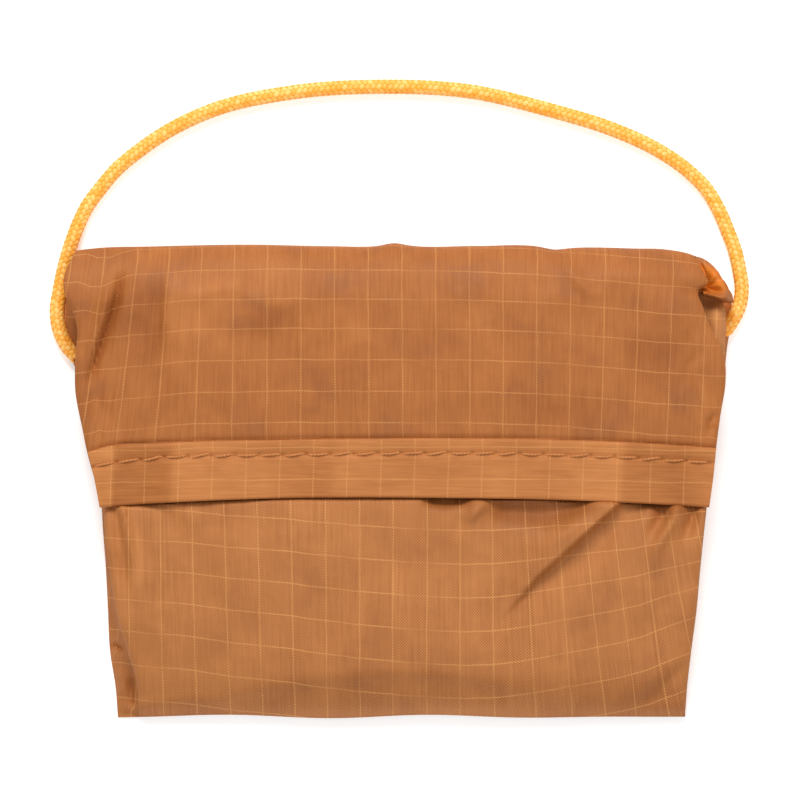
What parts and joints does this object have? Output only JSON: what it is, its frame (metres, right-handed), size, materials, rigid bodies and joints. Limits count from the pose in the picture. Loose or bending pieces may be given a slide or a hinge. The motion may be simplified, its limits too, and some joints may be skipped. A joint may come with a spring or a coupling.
{
  "type": "crampon storage pouch",
  "caption": "Fold-over ripstop storage pouch with side gussets, a hemmed neck folded down as its flap, and a braided carrying cord.",
  "frame": {"origin": "centre of the closed pouch's footprint, on the surface that it lies on, with the cord left out", "axes": "+X to the pouch's right across its width, +Y from the sewn base towards the top fold, +Z out of the front, where the flap is"},
  "size_m": [0.14, 0.1275, 0.0164],
  "materials": {
    "ripstop_cloth": "satin",
    "ripstop_hem": "satin",
    "ripstop_inside": "satin",
    "thread": "matte",
    "braided_cord": "matte"
  },
  "bodies": {
    "pouch": {"back_panel": "ripstop_cloth", "front_panel": "ripstop_cloth", "left_gusset": "ripstop_cloth", "right_gusset": "ripstop_cloth", "outer_fold": "ripstop_cloth", "inner_fold": "ripstop_cloth", "left_back_seam": "ripstop_inside", "right_back_seam": "ripstop_inside", "left_front_seam": "ripstop_inside", "right_front_seam": "ripstop_inside", "base_seam": "ripstop_inside", "left_cord_end": "braided_cord", "right_cord_end": "braided_cord", "left_cord_tack": "thread", "right_cord_tack": "thread"},
    "flap": {"flap_outer": "ripstop_cloth", "flap_inner": "ripstop_cloth", "left_neck_gusset": "ripstop_inside", "right_neck_gusset": "ripstop_inside", "outer_hem": "ripstop_hem", "inner_hem": "ripstop_hem", "outer_hem_thread": "thread", "inner_hem_thread": "thread"},
    "cord": {"carry_cord": "braided_cord"}
  },
  "joints": [
    {"name": "flap_fold", "type": "hinge", "parent": "pouch", "child": "flap", "pos_m": [0, 0.04, 0.007], "axis": [-1, 0, 0], "range_deg": [0, 150], "deforming": ["outer_fold", "inner_fold"]},
    {"name": "cord_swing", "type": "hinge", "parent": "pouch", "child": "cord", "pos_m": [0, 0.0272, 0.0015], "axis": [0.9995, 0.0314, 0], "range_deg": [0, 150]}
  ]
}
